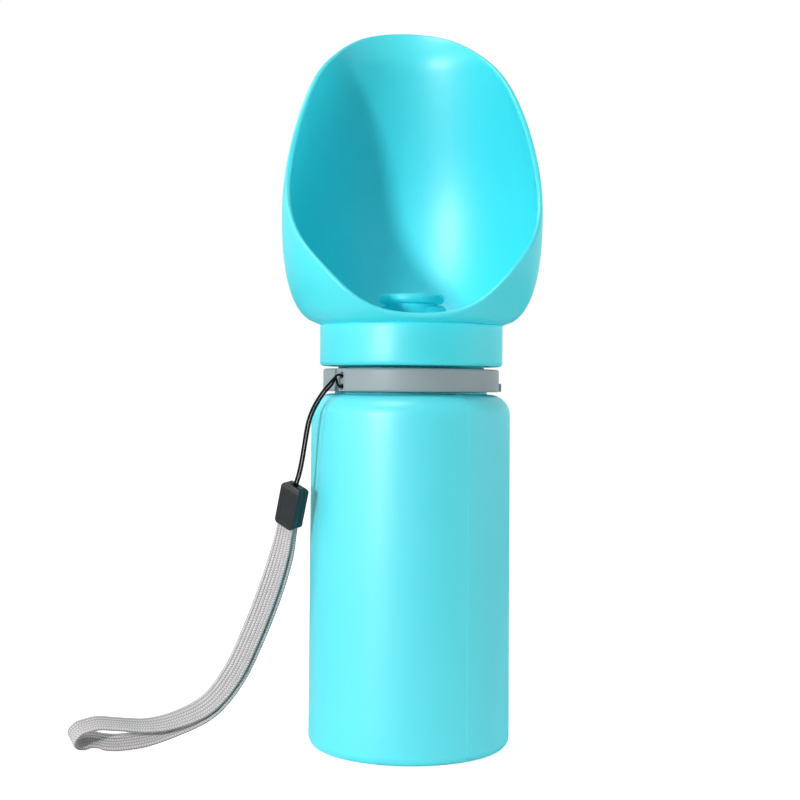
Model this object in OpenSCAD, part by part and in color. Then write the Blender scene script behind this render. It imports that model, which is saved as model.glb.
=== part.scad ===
// Travel water bottle for a dog: a soft squeeze bottle, a screw cap that carries a tall
// drinking scoop with a pull-up valve in its floor, and a wrist strap on a ring round the
// neck. Millimetres, +Z up. The origin is the centre of the foot, the scoop opens towards
// -Y, and the strap hangs on the -X side.

/* [Bottle] */
// Outer radius of the bottle just above its foot
body_r = 35.5; // [33:0.1:45]
// Outer radius at the top of the straight wall
body_top_r = 35.1; // [33:0.1:45]
// Wall of the soft bottle
body_wall = 2.2; // [1.5:0.1:4]
// Height of the shoulder above the foot
shoulder_z = 123.9; // [100:0.1:160]
// Rounding of the foot's edge
foot_fillet = 3.3; // [1:0.1:5]
// Rounding of the shoulder's edge
shoulder_fillet = 7.4; // [4:0.1:8]
// Mean radius of the groove in the underside
foot_groove_r = 24; // [12:0.5:27]
// Width of the groove in the underside
foot_groove_w = 5; // [2:0.5:8]
// Depth of the groove in the underside
foot_groove_d = 0.8; // [0.3:0.1:1.2]

/* [Neck] */
// Outer radius of the bottle's neck
neck_r = 26; // [24:0.1:28]
// Wall of the soft neck
neck_wall = 2; // [1.5:0.1:3]
// Height of the soft neck above the shoulder
neck_h = 9.3; // [9:0.1:12]
// Wall of the rigid sleeve that stiffens the neck
sleeve_wall = 2; // [1.5:0.1:3]
// Height of the threaded end of the sleeve above the soft neck
finish_h = 9.7; // [8:0.1:14]
// Width of the hook that holds the sleeve under the shoulder
hook_w = 1.4; // [0.6:0.1:3]
// Height of the hook
hook_h = 1.9; // [1:0.1:4]

/* [Lanyard ring] */
// Outer radius of the ring
ring_r = 31.1; // [30:0.1:33]
// Height of the ring
ring_h = 7.9; // [7:0.1:8]
// Height of the bead that the ring sits on
bead_h = 0.8; // [0.5:0.1:1.5]
// Width of the bead
bead_w = 0.9; // [0.6:0.1:1.4]
// Rounding of the ring's outer edges
ring_edge = 0.5; // [0.2:0.1:1]
// Direction of the cord's anchor, seen from above
anchor_angle = 213; // [180:1:240]
// Width of the recess at the anchor
recess_w = 5.4; // [4:0.1:8]
// Depth of the recess
recess_d = 1.1; // [0.5:0.1:1.5]
// Radius of each cord hole
cord_hole_r = 1.1; // [0.9:0.05:1.3]
// Distance between the two cord holes
cord_hole_pitch = 4; // [3.6:0.1:4.4]
// Depth of the passage behind the bar, from the ring's outside
cord_hole_depth = 2.6; // [2.5:0.1:3]
// How far the cord's loop lies below the middle of the ring
anchor_drop = 0.4; // [0:0.1:0.8]
// Width of the small grip tab on the far side
tab_w = 3; // [2:0.1:5]
// Height of the grip tab
tab_h = 2.8; // [2:0.1:4]
// How far the grip tab stands out
tab_out = 0.8; // [0.4:0.1:1.2]

/* [Cap] */
// Outer radius of the cap
cap_r = 30; // [29:0.1:32]
// Thickness of the cap's top plate
plate_t = 3; // [2:0.1:4]
// Thickness of the cap's gasket
gasket_t = 1.5; // [1:0.1:2.5]
// Distance from the soft neck up to the cap's skirt
skirt_gap = 2.3; // [1.5:0.1:3]
// Outer radius of the spout
spout_r = 6.5; // [6:0.1:7]
// Bore of the spout
spout_bore_r = 4.6; // [4:0.1:5]
// Radius of the bead at the spout's end
spout_bead_r = 7.2; // [7.1:0.05:7.4]
// Height of the bead at the spout's end
spout_bead_h = 2.5; // [2:0.1:3]
// Radius of the pin that plugs the valve
pin_r = 2.4; // [2:0.1:3]
// Thickness of the webs that carry the pin
web_t = 0.9; // [0.7:0.1:1.4]
// Height of the webs
web_h = 4; // [3:0.1:5]

/* [Valve] */
// Radius of the valve's disc
disc_r = 11.65; // [11:0.05:13]
// Gap between the spout's end and the disc
disc_gap = 0.6; // [0.4:0.1:1]
// Thickness of the disc
disc_t = 3.2; // [2.5:0.1:4]
// Rounding of the disc's edge
disc_edge = 1.35; // [0.6:0.05:1.5]
// Outer radius of the valve's stem
stem_r = 8.9; // [8.5:0.1:9.5]
// Gap under the valve's stem when it is closed
stem_gap = 0.3; // [0.2:0.05:0.5]
// Height of the lip at the bottom of the stem
stem_lip_h = 0.9; // [0.6:0.1:1.5]
// How far the pin's end lies below the disc's top
pin_drop = 0.8; // [0.4:0.1:1.2]
// How far the valve is pulled up to open
valve_travel = 4; // [3:0.1:4]
// Section radius of the O-ring on the spout
o_ring_r = 0.5; // [0.4:0.05:0.6]

/* [Scoop] */
// Thickness of the scoop's collar round the cap
collar_wall = 2.25; // [1.5:0.05:3]
// Height from the ring's top to the collar's lower edge
collar_gap = 1; // [0.6:0.1:2]
// Height of the lip that holds the collar under the cap
collar_lip_h = 1.6; // [0.8:0.1:1.8]
// Width of that lip
collar_lip_w = 2.8; // [1:0.1:3.4]
// Rounding of the collar's lower edge
collar_edge = 1.4; // [0.5:0.1:1.5]
// Height from the cap's top to the start of the bulge
scoop_start = 0.9; // [0.5:0.1:1.5]
// Depth of the crease between the collar and the bulge
crease_d = 0.35; // [0.2:0.05:0.6]
// Wall of the scoop
scoop_wall = 1.8; // [1.6:0.1:2.6]
// Thickness of the scoop's floor
floor_t = 2.2; // [1.8:0.1:3]
// Largest radius of the scoop
scoop_r = 46.1; // [43:0.1:52]
// Height of the widest place above the collar
scoop_wide_h = 38.3; // [30:0.1:50]
// Height of the whole scoop above the collar
scoop_h = 114.2; // [100:0.1:130]
// Radius of the scoop where it is drawn in near the top
scoop_waist_r = 33.7; // [31:0.1:38]
// Height of that drawn-in place above the collar
scoop_waist_h = 97.7; // [88:0.1:99]
// Radius of the scoop at its top
scoop_top_r = 36.2; // [34:0.1:42]
// Inner radius of the rib round the valve
rib_r = 9.4; // [9.2:0.1:10.5]
// Thickness of the rib
rib_t = 3.6; // [2:0.1:5]
// Height of the rib above the floor
rib_h = 5.6; // [3:0.1:5.8]
// Angle at the front that the rib leaves open
rib_open = 116; // [90:1:200]

/* [Clip] */
// Width of the clip
clip_w = 8.6; // [8.4:0.1:12]
// Thickness of the clip
clip_t = 5.2; // [5:0.1:8]
// Length of the clip
clip_l = 15.6; // [13:0.1:20]
// Rounding of the clip's top edges
clip_edge = 1.6; // [0.8:0.1:2]
// Cut at the clip's lower corners
clip_cut = 0.9; // [0.4:0.1:1.5]
// Depth of the pocket for the strap's ends
pocket_depth = 11.6; // [10:0.1:12]
// Radius of the knot in the clip
knot_r = 1.5; // [1.3:0.05:1.6]

/* [Cord and strap] */
// Diameter of each strand of the cord
cord_d = 0.85; // [0.7:0.05:1]
// Width of the webbing
strap_w = 7.6; // [6:0.1:7.8]
// Thickness of the webbing
strap_t = 1.4; // [1:0.1:1.5]

/* [Fits] */
// Radial clearance of pieces that turn or slide on each other
run_fit = 0.1; // [0.05:0.01:0.1]
// Gap between pieces that seat on each other
seat_gap = 0.05; // [0.02:0.01:0.1]
// Clearance round the strap and the knot in the clip
loose_fit = 0.15; // [0.1:0.01:0.15]
// Clearance round the cord in the clip
cord_room = 0.4; // [0.3:0.05:0.6]

/* [Hidden] */
$fn = 96;

// Colours
aqua = "#6ff2fa";
ring_grey = "#909ea2";
clip_black = "#24282b";
strap_grey = "#cfccca";
seal_white = "#e8ecec";

// Heights that follow from the stack of pieces
neck_top_z = shoulder_z + neck_h;
finish_top_z = neck_top_z + finish_h;
plate_z = finish_top_z + gasket_t;
cap_top_z = plate_z + plate_t;
floor_z = cap_top_z + floor_t;
ring_z = shoulder_z + bead_h + seat_gap;
ring_top_z = ring_z + ring_h;
collar_z = ring_top_z + collar_gap;
skirt_z = neck_top_z + skirt_gap;
scoop_z = cap_top_z + scoop_start;
anchor_z = ring_z + ring_h / 2 - anchor_drop;

// Radii that follow
bore_r = neck_r - neck_wall - sleeve_wall;
finish_r = neck_r - run_fit;
collar_in_r = cap_r + seat_gap;
collar_r = collar_in_r + collar_wall;

// Valve: the lip of the stem meets the bead of the spout at the end of the travel
stem_bore_r = spout_bead_r + run_fit;
lip_bore_r = spout_r + run_fit;
stem_z = cap_top_z + stem_gap;
spout_bead_z = stem_z + stem_lip_h + valve_travel + run_fit;
spout_top_z = spout_bead_z + spout_bead_h;
disc_z = spout_top_z + disc_gap;
disc_top_z = disc_z + disc_t;
pin_top_z = disc_top_z - pin_drop;
o_ring_z = spout_bead_z + spout_bead_h / 2;
groove_r = spout_bead_r - 2 * o_ring_r;

// Clip: its place and turn, its top centre is where the cord goes in
clip_top = [-40.6, -15.9, 92.6];
clip_turn = [10, 22.4, -41.5];

// Small functions for outlines and sweeps
function arc(c, r, a0, a1, n) = [for (i = [0:n]) c + r * [cos(a0 + (a1 - a0) * i / n),
    sin(a0 + (a1 - a0) * i / n)]];
function bezier(p, t) = pow(1 - t, 3) * p[0] + 3 * t * pow(1 - t, 2) * p[1]
    + 3 * t * t * (1 - t) * p[2] + pow(t, 3) * p[3];
function bezier_points(p, n) = [for (i = [1:n]) bezier(p, i / n)];
function unit(v) = v / norm(v);
function reverse(list) = [for (i = [len(list) - 1:-1:0]) list[i]];

// A smooth curve through the points of a list, with n steps between two of them
function spline_at(p, i, t) =
    let (a = i == 0 ? 2 * p[0] - p[1] : p[i - 1],
        d = i + 2 > len(p) - 1 ? 2 * p[i + 1] - p[i] : p[i + 2])
    (2 * p[i] + (p[i + 1] - a) * t + (2 * a - 5 * p[i] + 4 * p[i + 1] - d) * t * t
    + (3 * p[i] - a - 3 * p[i + 1] + d) * t * t * t) / 2;
function spline(p, n) = concat([for (i = [0:len(p) - 2]) for (k = [0:n - 1])
    spline_at(p, i, k / n)], [p[len(p) - 1]]);
function tangent(p, i) = unit(p[min(i + 1, len(p) - 1)] - p[max(i - 1, 0)]);

// A closed tube through rings of points, with flat ends
module skin(rings) {
    n = len(rings);
    m = len(rings[0]);
    sides = [for (i = [0:n - 2]) for (j = [0:m - 1]) for (tri = [
        [i * m + (j + 1) % m, i * m + j, (i + 1) * m + j],
        [(i + 1) * m + (j + 1) % m, i * m + (j + 1) % m, (i + 1) * m + j]]) tri];
    polyhedron(points = [for (ring = rings) for (p = ring) p], faces = concat(
        [[for (j = [0:m - 1]) j]], sides, [[for (j = [m - 1:-1:0]) (n - 1) * m + j]]),
        convexity = 10);
}

// Outline of the bottle: foot, wall, shoulder and neck, then back down inside
foot_in = foot_fillet - body_wall / 2;
body_outline = concat(
    [[0, 0], [foot_groove_r - foot_groove_w / 2, 0],
        [foot_groove_r - foot_groove_w / 2 + foot_groove_d, foot_groove_d],
        [foot_groove_r + foot_groove_w / 2 - foot_groove_d, foot_groove_d],
        [foot_groove_r + foot_groove_w / 2, 0]],
    arc([body_r - foot_fillet, foot_fillet], foot_fillet, -90, 0, 6),
    arc([body_top_r - shoulder_fillet, shoulder_z - shoulder_fillet], shoulder_fillet, 0, 90, 10),
    [[neck_r + bead_w, shoulder_z], [neck_r + bead_w, shoulder_z + bead_h],
        [neck_r, shoulder_z + bead_h], [neck_r, neck_top_z],
        [neck_r - neck_wall, neck_top_z], [neck_r - neck_wall, shoulder_z - body_wall]],
    arc([body_top_r - shoulder_fillet, shoulder_z - shoulder_fillet],
        shoulder_fillet - body_wall, 90, 0, 8),
    arc([body_r - body_wall - foot_in, body_wall + foot_in], foot_in, 0, -90, 5),
    [[0, body_wall]]);

module bottle_body() {
    color(aqua) rotate_extrude() polygon(body_outline);
}

// Rigid sleeve in the soft neck, with the hook that holds it under the shoulder
sleeve_r = neck_r - neck_wall - seat_gap;
hook_top_z = shoulder_z - body_wall - seat_gap;
module neck_sleeve() {
    color(aqua) rotate_extrude() polygon([[bore_r, hook_top_z - hook_h],
        [sleeve_r + hook_w / 2, hook_top_z - hook_h], [sleeve_r + hook_w, hook_top_z - hook_h / 2],
        [sleeve_r + hook_w, hook_top_z], [sleeve_r, hook_top_z], [sleeve_r, neck_top_z],
        [finish_r, neck_top_z], [finish_r, finish_top_z - 0.6],
        [finish_r - 0.6, finish_top_z], [bore_r, finish_top_z]]);
}

// Lanyard ring: a plain band with a recess where the cord loops round a small bar
module lanyard_ring() {
    color(ring_grey) difference() {
        union() {
            rotate_extrude() polygon([[neck_r + run_fit, ring_z], [ring_r - ring_edge, ring_z],
                [ring_r, ring_z + ring_edge], [ring_r, ring_top_z - ring_edge],
                [ring_r - ring_edge, ring_top_z], [neck_r + run_fit, ring_top_z]]);
            rotate(anchor_angle + 142) translate([ring_r - 1, -tab_w / 2, ring_z + 0.2])
                cube([1 + tab_out, tab_w, tab_h]);
        }
        rotate(anchor_angle) {
            translate([ring_r - recess_d, -recess_w / 2, ring_z - 1])
                cube([recess_d + 2, recess_w, ring_h + 2]);
            for (s = [-1, 1])
                translate([ring_r - cord_hole_depth, 0, anchor_z + s * cord_hole_pitch / 2])
                    rotate([0, 90, 0]) cylinder(r = cord_hole_r, h = cord_hole_depth + 1);
            translate([ring_r - cord_hole_depth, 0, anchor_z - cord_hole_pitch / 2])
                cylinder(r = cord_hole_r, h = cord_hole_pitch);
        }
    }
}

// Rigid cap under the scoop: skirt, top plate, spout with its end bead and O-ring groove,
// and the pin on three webs that plugs the valve
module screw_cap() {
    color(aqua) {
        rotate_extrude() polygon([[finish_r + run_fit, skirt_z], [cap_r - 0.5, skirt_z],
            [cap_r, skirt_z + 0.5], [cap_r, cap_top_z], [spout_r, cap_top_z],
            [spout_r, spout_bead_z], [spout_bead_r, spout_bead_z],
            [spout_bead_r, o_ring_z - o_ring_r], [groove_r, o_ring_z - o_ring_r],
            [groove_r, o_ring_z + o_ring_r], [spout_bead_r, o_ring_z + o_ring_r],
            [spout_bead_r, spout_top_z - 0.4], [spout_bead_r - 0.4, spout_top_z],
            [spout_bore_r, spout_top_z], [spout_bore_r, plate_z], [finish_r + run_fit, plate_z]]);
        difference() {
            for (a = [90, 210, 330])
                rotate(a) translate([pin_r - 0.5, -web_t / 2, plate_z])
                    cube([spout_bore_r - pin_r + 1, web_t, web_h]);
            translate([0, 0, plate_z - 1]) cylinder(r = pin_r, h = web_h + 2);
        }
        translate([0, 0, plate_z]) cylinder(r = pin_r, h = pin_top_z - 0.5 - plate_z);
        translate([0, 0, pin_top_z - 0.5]) cylinder(r1 = pin_r, r2 = pin_r - 0.5, h = 0.5);
    }
}

// Flat gasket between the cap's plate and the end of the sleeve
module cap_gasket() {
    color(seal_white) translate([0, 0, finish_top_z]) difference() {
        cylinder(r = finish_r - 0.3, h = gasket_t);
        translate([0, 0, -1]) cylinder(r = bore_r + 0.3, h = gasket_t + 2);
    }
}

// Scoop: collar, bulged cup, and the rib round the valve
scoop_side = concat(
    bezier_points([[collar_r, scoop_z], [collar_r + 9.9, scoop_z + 1.7],
        [scoop_r, scoop_z + 16.3], [scoop_r, scoop_z + scoop_wide_h]], 9),
    bezier_points([[scoop_r, scoop_z + scoop_wide_h], [scoop_r, scoop_z + scoop_wide_h + 22.7],
        [scoop_waist_r + 5, scoop_z + scoop_waist_h - 21.2],
        [scoop_waist_r, scoop_z + scoop_waist_h]], 8),
    bezier_points([[scoop_waist_r, scoop_z + scoop_waist_h],
        [scoop_waist_r - 1.5, scoop_z + scoop_waist_h + 6.4],
        [scoop_top_r - 0.5, scoop_z + scoop_h - 5.5], [scoop_top_r, scoop_z + scoop_h]], 4));

function inset_points(p, d) = [for (i = [0:len(p) - 1])
    let (t = tangent(p, i)) p[i] + d * [-t[1], t[0]]];

// The rim in side view: everything in front of this curve is cut away
rim_curve = concat([[-34.9, scoop_z - 1]],
    bezier_points([[-34.9, scoop_z + 0.2], [-34.9, scoop_z + 25.7], [-12.5, scoop_z + 25.4],
        [-5.2, scoop_z + 56.7]], 12),
    bezier_points([[-5.2, scoop_z + 56.7], [-0.1, scoop_z + 78.6], [8.7, scoop_z + 97.1],
        [40.1, scoop_z + scoop_h - 0.6]], 12));

module scoop_shell() {
    outer = concat([[collar_r, scoop_z]], scoop_side);
    inner = inset_points(outer, scoop_wall);
    difference() {
        rotate_extrude() polygon(concat(
            [[collar_r - collar_lip_w - collar_wall, collar_z]],
            arc([collar_r - collar_edge, collar_z + collar_edge], collar_edge, -90, 0, 5),
            [[collar_r, scoop_z - crease_d], [collar_r - crease_d, scoop_z - crease_d / 3]],
            outer, reverse([for (p = inner) if (p[1] > floor_z + 0.4) p]),
            [[collar_r - 2, floor_z], [rib_r, floor_z],
                [rib_r, cap_top_z + seat_gap], [collar_in_r, cap_top_z + seat_gap],
                [collar_in_r, collar_z + collar_lip_h],
                [collar_r - collar_lip_w - collar_wall, collar_z + collar_lip_h]]));
        rotate([90, 0, 90]) translate([0, 0, -scoop_r - 5]) linear_extrude(2 * scoop_r + 10)
            polygon(concat([[-scoop_r - 5, scoop_z + scoop_h + 5],
                [-scoop_r - 5, scoop_z - 1]], rim_curve, [[50, scoop_z + scoop_h + 5]]));
    }
}

module valve_rib() {
    half = rib_open / 2;
    difference() {
        translate([0, 0, floor_z - 0.5]) rotate_extrude() polygon(concat(
            [[rib_r, 0], [rib_r + rib_t, 0]],
            arc([rib_r + rib_t / 2, rib_h + 0.5 - rib_t / 2], rib_t / 2, 0, 180, 8)));
        translate([0, 0, floor_z - 1]) linear_extrude(rib_h + 3) polygon([[0, 0],
            [-30 * sin(half), -30 * cos(half)], [-30, -40], [30, -40],
            [30 * sin(half), -30 * cos(half)]]);
    }
}

module drinking_scoop() {
    color(aqua) {
        scoop_shell();
        valve_rib();
    }
}

// Pull-up valve: a disc to grip, on a stem that slides on the spout
module pull_valve() {
    color(aqua) rotate_extrude() polygon(concat(
        [[pin_r + seat_gap, disc_z], [stem_bore_r, disc_z],
            [stem_bore_r, stem_z + stem_lip_h], [lip_bore_r, stem_z + stem_lip_h],
            [lip_bore_r, stem_z], [stem_r, stem_z], [stem_r, disc_z]],
        arc([disc_r - disc_edge, disc_z + disc_edge], disc_edge, -90, 0, 5),
        arc([disc_r - disc_edge, disc_top_z - disc_edge], disc_edge, 0, 90, 5),
        [[pin_r + seat_gap, disc_top_z]]));
}

module valve_o_ring() {
    color(seal_white) translate([0, 0, o_ring_z]) rotate_extrude()
        translate([groove_r + o_ring_r, 0]) circle(r = o_ring_r - 0.02, $fn = 24);
}

// Clip: two shells with a pocket for the strap's ends and the cord's knot.
// Local axes: X across, Y from front to back, Z along, with the top centre at the origin.
module clip_shell(side) {
    pocket_w = strap_w + 2 * loose_fit;
    pocket_t = 2 * strap_t + 0.3 + 2 * loose_fit;
    side_profile = concat([[0, -clip_l], [clip_t / 2, -clip_l], [clip_t / 2, -clip_edge]],
        arc([clip_t / 2 - clip_edge, -clip_edge], clip_edge, 0, 90, 5), [[0, 0]]);
    difference() {
        intersection() {
            translate([-clip_w / 2, 0, 0]) rotate([90, 0, 90]) linear_extrude(clip_w)
                polygon([for (p = side_profile) [side * p[0], p[1]]]);
            translate([0, clip_t, 0]) rotate([90, 0, 0]) linear_extrude(2 * clip_t)
                polygon(concat([[-clip_w / 2 + clip_cut, -clip_l], [clip_w / 2 - clip_cut, -clip_l],
                    [clip_w / 2, -clip_l + clip_cut]],
                    arc([clip_w / 2 - clip_edge, -clip_edge], clip_edge, 0, 90, 5),
                    arc([-clip_w / 2 + clip_edge, -clip_edge], clip_edge, 90, 180, 5),
                    [[-clip_w / 2, -clip_l + clip_cut]]));
        }
        translate([-pocket_w / 2, -pocket_t / 2, -clip_l - 1])
            cube([pocket_w, pocket_t, pocket_depth + 1]);
        translate([-cord_d - cord_room, -cord_d / 2 - cord_room, -clip_l])
            cube([2 * cord_d + 2 * cord_room, cord_d + 2 * cord_room, clip_l + 1]);
    }
}

module clip_front() {
    color(clip_black) translate(clip_top) rotate(clip_turn) clip_shell(-1);
}

module clip_back() {
    color(clip_black) translate(clip_top) rotate(clip_turn) clip_shell(1);
}

// Knot at the end of the cord, in the pocket of the clip
knot_depth = clip_l - pocket_depth + knot_r + loose_fit;
module cord_knot() {
    color(clip_black) translate(clip_top) rotate(clip_turn) translate([0, 0, -knot_depth])
        sphere(r = knot_r, $fn = 32);
}

// Cord: one strand folded double. The route is that of the pair, from the knot in the clip
// up to the anchor, and the loop at the anchor passes behind the bar between the holes.
cord_route = [[-41.3, -14.2, 88.7], [-40.6, -15.9, 92.6], [-39.4, -16.4, 96.6],
    [-38.4, -16.5, 101.6], [-37.4, -17.1, 108], [-36.4, -17.7, 113.8], [-35, -18.2, 118],
    [-33.2, -18.5, 121.5], [-31, -18.5, 124.8], [-28.6, -18.1, 127.6]];
cord_loop = [[31.9, 0.1, 1.9], [30.4, 0, 2], [29.1, 0, 1.5], [28.6, 0, 0], [29.1, 0, -1.5],
    [30.4, 0, -2], [31.2, -0.5, -1.2], [31.4, -0.9, 0.2], [32.1, -0.8, 1.2]];
pair_gap = 0.06;
view_side = [0.08, 1, 0];

function strand(side) = [for (i = [0:len(cord_route) - 1])
    cord_route[i] + side * (cord_d + pair_gap) / 2
    * unit(cross(tangent(cord_route, i), view_side))];
function at_anchor(p) = [p[0] * cos(anchor_angle) - p[1] * sin(anchor_angle),
    p[0] * sin(anchor_angle) + p[1] * cos(anchor_angle), p[2] + anchor_z];
cord_path = concat(spline(strand(1), 2), [for (p = cord_loop) at_anchor(p)],
    reverse(spline(strand(-1), 2)));

// Rings of eight points square to a path, carried along it without twist
function turned(v, t) = unit(v - (v * t) * t);
function carried(path, v, i) = i == 0 ? [turned(v, tangent(path, 0))] :
    let (before = carried(path, v, i - 1))
    concat(before, [turned(before[i - 1], tangent(path, i))]);
function tube_rings(path, r, v) = let (u = carried(path, v, len(path) - 1))
    [for (i = [0:len(path) - 1]) let (w = cross(tangent(path, i), u[i]))
        [for (k = [0:7]) path[i] + r * (cos(45 * k) * u[i] + sin(45 * k) * w)]];

module lanyard_cord() {
    color(clip_black) skin(tube_rings(cord_path, cord_d / 2, [0, 1, 0]));
}

// Wrist strap: one length of webbing, folded at the far end, with both ends in the clip.
// Each row holds a point of the near run, the direction across the webbing, half the
// distance to the far run, and how far the far run lies to the side.
strap_route = [
    [-42.5, -13.5, 85.2, 0.69, -0.61, -0.38, 0.85, 0],
    [-43.8, -10.6, 78.3, 0.69, -0.61, -0.38, 0.85, 0],
    [-46.2, -8.3, 67.5, 0.83, -0.44, -0.35, 0.85, 0.9],
    [-50.2, -6.8, 54.5, 0.91, -0.28, -0.34, 0.85, 1.2],
    [-55.5, -6.1, 40.5, 0.87, -0.27, -0.42, 0.85, 1.2],
    [-62, -6, 26.5, 0.77, -0.27, -0.58, 0.85, 1.2],
    [-70.4, -6.5, 16, 0.48, -0.45, -0.75, 0.9, 1.2],
    [-81, -7.7, 10.8, 0.2, -0.66, -0.73, 1.25, 1.1],
    [-91, -8.8, 9, 0.1, -0.79, -0.6, 2.2, 1],
    [-100.5, -9.4, 9.6, 0.1, -0.81, -0.58, 3.6, 0.8],
    [-107.8, -9.6, 10.1, 0.22, -0.76, -0.61, 4.15, 0.6],
    [-113.3, -10, 8.6, 0.46, -0.67, -0.59, 3.3, 0.4]];
fold_reach = 3;
strap_edge = 0.35;
function xyz(row, i) = [row[i], row[i + 1], row[i + 2]];
strap_rows = spline(strap_route, 2);
strap_points = [for (row = strap_rows) xyz(row, 0)];
strap_n = len(strap_rows) - 1;
function across(i) = unit(xyz(strap_rows[i], 3));
function outward(i) = unit(cross(across(i), tangent(strap_points, i)));
function ahead(i) = cross(outward(i), across(i));
function strap_ring(c, a, n) = let (x = strap_w / 2, y = strap_t / 2, e = strap_edge)
    [for (q = [[x, e - y], [x, y - e], [x - e, y], [e - x, y], [-x, y - e], [-x, e - y],
        [e - x, -y], [x - e, -y]]) c + q[0] * a + q[1] * n];
near_run = [for (i = [0:strap_n]) strap_ring(strap_points[i], across(i), -outward(i))];
far_run = [for (i = [strap_n:-1:0]) strap_ring(strap_points[i]
    + 2 * strap_rows[i][6] * outward(i) + strap_rows[i][7] * across(i), across(i), outward(i))];
fold_run = let (n = outward(strap_n), t = ahead(strap_n), g = strap_rows[strap_n][6],
    s = strap_rows[strap_n][7], a = across(strap_n)) [for (b = [30:30:150])
    strap_ring(strap_points[strap_n] + g * (1 - cos(b)) * n + fold_reach * sin(b) * t
        + s * (1 - cos(b)) / 2 * a, a,
        unit(-g * cos(b) * n / fold_reach + sin(b) * t))];

module wrist_strap() {
    color(strap_grey) skin(concat(near_run, fold_run, far_run));
}

bottle_body();
neck_sleeve();
lanyard_ring();
screw_cap();
cap_gasket();
drinking_scoop();
pull_valve();
valve_o_ring();
lanyard_cord();
cord_knot();
clip_front();
clip_back();
wrist_strap();
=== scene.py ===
import math

import bmesh
import bpy
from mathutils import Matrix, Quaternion, Vector


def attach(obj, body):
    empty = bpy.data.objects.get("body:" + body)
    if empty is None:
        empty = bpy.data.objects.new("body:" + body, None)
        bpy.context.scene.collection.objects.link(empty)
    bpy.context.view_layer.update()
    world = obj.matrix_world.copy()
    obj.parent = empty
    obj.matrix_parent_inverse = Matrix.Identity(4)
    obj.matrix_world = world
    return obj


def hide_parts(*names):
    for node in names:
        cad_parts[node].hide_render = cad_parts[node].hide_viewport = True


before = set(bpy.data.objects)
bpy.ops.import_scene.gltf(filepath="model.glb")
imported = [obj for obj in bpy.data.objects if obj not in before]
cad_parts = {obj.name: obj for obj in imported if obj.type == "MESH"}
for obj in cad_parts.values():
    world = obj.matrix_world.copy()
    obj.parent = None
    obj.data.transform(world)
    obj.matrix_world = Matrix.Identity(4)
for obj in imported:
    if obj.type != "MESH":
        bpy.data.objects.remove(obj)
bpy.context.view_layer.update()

bl_info = {
    "name": "Dog travel water bottle",
    "version": (1, 0, 0),
    "blender": (4, 5, 0),
    "location": "3D View > Sidebar > Bottle",
    "description": "A soft travel bottle with a drinking scoop, a pull-up valve and a wrist strap",
    "category": "Object",
}

MM = 0.001
TAU = 2 * math.pi
TINY = 1e-9
X_AXIS, Z_AXIS = Vector((1, 0, 0)), Vector((0, 0, 1))


# ---------------------------------------------------------------- shapes, in millimetres

# The bottle: its side narrows from the foot to the shoulder
FOOT_R = 35.5
FOOT_EDGE = 3.3
BODY_TOP_R = 35.1
BODY_TOP_Z = 116.5
SHOULDER_EDGE = 7.4
BOTTLE_WALL = 2.2
SIDE_LEVELS = 12
# Middle and radius of the rounded groove under the foot
GROOVE = (24, -1.75, 3.0)
NECK = [(27.15, 123.9), (26.9, 124.1), (26.9, 124.5), (26.7, 124.7), (26, 124.7),
        (26, 132.8), (25.6, 133.2), (24.4, 133.2), (24, 132.9), (24, 121.7)]
MOULD_LINE_ANGLES = (-60.5, 59.5, 179.5)
MOULD_LINE_WIDTH = 0.32
# Faces this near to a mould line and this far out are cut, and points this far out are lifted
CUT_REACH, CUT_FROM, LIFT_FROM = 4, 24, 20
LINE_SLACK = 0.05
# A point is on the bottle's outside above either height and outside the radius with it
OUTSIDE = ((2, 34.4), (121.2, 26.8))

# The scoop: side and rim are chains of cubic curves, as (radius, height) and (depth, height)
SCOOP_SIDE = [(32.3, 148.3), (42.2, 150.0), (46.1, 164.6), (46.1, 186.6),
              (46.1, 209.3), (38.7, 224.8), (33.7, 246.0),
              (32.2, 252.4), (35.7, 257.0), (36.2, 262.5)]
RIM_SIDE = [(-34.9, 148.5), (-34.9, 174.0), (-12.5, 173.7), (-5.2, 205.0),
            (-0.1, 226.9), (8.7, 245.4), (40.1, 261.9)]
SIDE_STEPS, RIM_STEPS = 24, 40
HALVINGS = 40
SCOOP_COLUMNS = 200
SCOOP_LEVELS = 54
LIP_R = 0.9
LIP_STEPS = 8
COLLAR_R = 32.3
COLLAR_Z = 133.65
COLLAR_EDGE = 1.4
FLOOR_Z = 149.6
# From the hole for the valve, along the cap's plate and down its side to the collar's lower edge
SCOOP_UNDERSIDE = [(9.4, 149.2), (9.4, 147.6), (9.6, 147.45), (20, 147.45), (29.9, 147.45),
                   (30.05, 147.3), (30.05, 141), (30.05, 135.4), (29.9, 135.25),
                   (27.5, 135.25), (27.25, 135.0), (27.25, 133.8), (27.4, COLLAR_Z),
                   (29, COLLAR_Z)]
RIB_IN, RIB_OUT = 9.4, 13.0
RIB_BASE_Z = 149.2
RIB_SIDE_Z = 153.4
RIB_HALF_GAP = 58
RIB_STEPS = 64

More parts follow.
